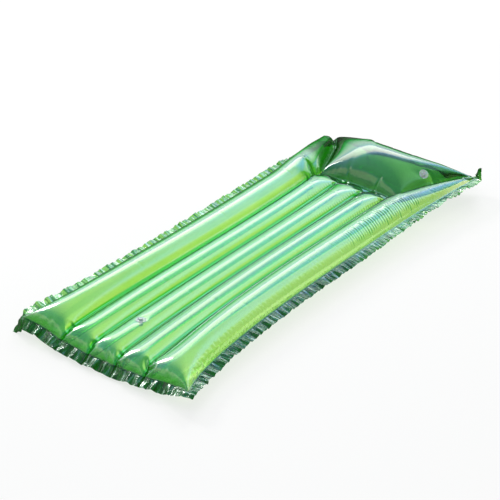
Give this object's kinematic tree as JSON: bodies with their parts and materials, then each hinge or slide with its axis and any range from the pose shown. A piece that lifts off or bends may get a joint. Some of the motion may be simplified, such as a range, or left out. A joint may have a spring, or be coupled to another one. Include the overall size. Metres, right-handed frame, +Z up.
{
  "type": "inflatable pool air mattress",
  "caption": "Clear green inflatable pool lounger with lengthwise air tubes, a raised head pillow, a crumpled weld flange and clear push-in oral valves.",
  "frame": {"origin": "on the floor plane, under the centre of the mat's bounding box", "axes": "+Z up, +Y lengthwise from the foot end to the pillow, +X to the right hand of a person lying on the back with the head on the pillow"},
  "size_m": [0.774, 1.865, 0.1609],
  "materials": {
    "film_upper": "glossy clear green PVC film",
    "film_lower": "glossy clear green PVC film, seen through the upper film",
    "web": "clear green PVC strip",
    "valve_clear": "clear soft PVC moulding",
    "valve_flap": "clear soft PVC, slightly milky"
  },
  "bodies": {
    "mat": {"upper_film": "film_upper", "lower_film": "film_lower", "web_1": "web", "web_2": "web", "web_3": "web", "web_4": "web", "body_valve_base": "valve_clear", "pillow_valve_base": "valve_clear"},
    "body_stem": {"body_valve_stem": "valve_clear", "body_valve_strap": "valve_clear"},
    "body_plug": {"body_valve_plug": "valve_clear"},
    "body_flap": {"body_valve_flap": "valve_flap"},
    "pillow_stem": {"pillow_valve_stem": "valve_clear", "pillow_valve_strap": "valve_clear"},
    "pillow_plug": {"pillow_valve_plug": "valve_clear"},
    "pillow_flap": {"pillow_valve_flap": "valve_flap"}
  },
  "joints": [
    {"name": "body_stem_slide", "type": "slide", "parent": "mat", "child": "body_stem", "axis": [0, 0, 1], "range_m": [0, 0.01]},
    {"name": "body_plug_hinge", "type": "hinge", "parent": "body_stem", "child": "body_plug", "pos_m": [-0.0129, -0.6965, 0.0941], "axis": [0, -1, 0], "range_deg": [0, 170]},
    {"name": "body_flap_hinge", "type": "hinge", "parent": "body_stem", "child": "body_flap", "pos_m": [-0.0035, -0.6965, 0.07215], "axis": [0, 1, 0], "range_deg": [0, 60]},
    {"name": "pillow_stem_slide", "type": "slide", "parent": "mat", "child": "pillow_stem", "axis": [0.57, -0.3, 0.765], "range_m": [0, 0.01]},
    {"name": "pillow_plug_hinge", "type": "hinge", "parent": "pillow_stem", "child": "pillow_plug", "pos_m": [0.18862, 0.70311, 0.11381], "axis": [0.8217, 0.2081, -0.5306], "range_deg": [0, 170]},
    {"name": "pillow_flap_hinge", "type": "hinge", "parent": "pillow_stem", "child": "pillow_flap", "pos_m": [0.17611, 0.71845, 0.10045], "axis": [-0.8217, -0.2081, 0.5306], "range_deg": [0, 60]}
  ]
}
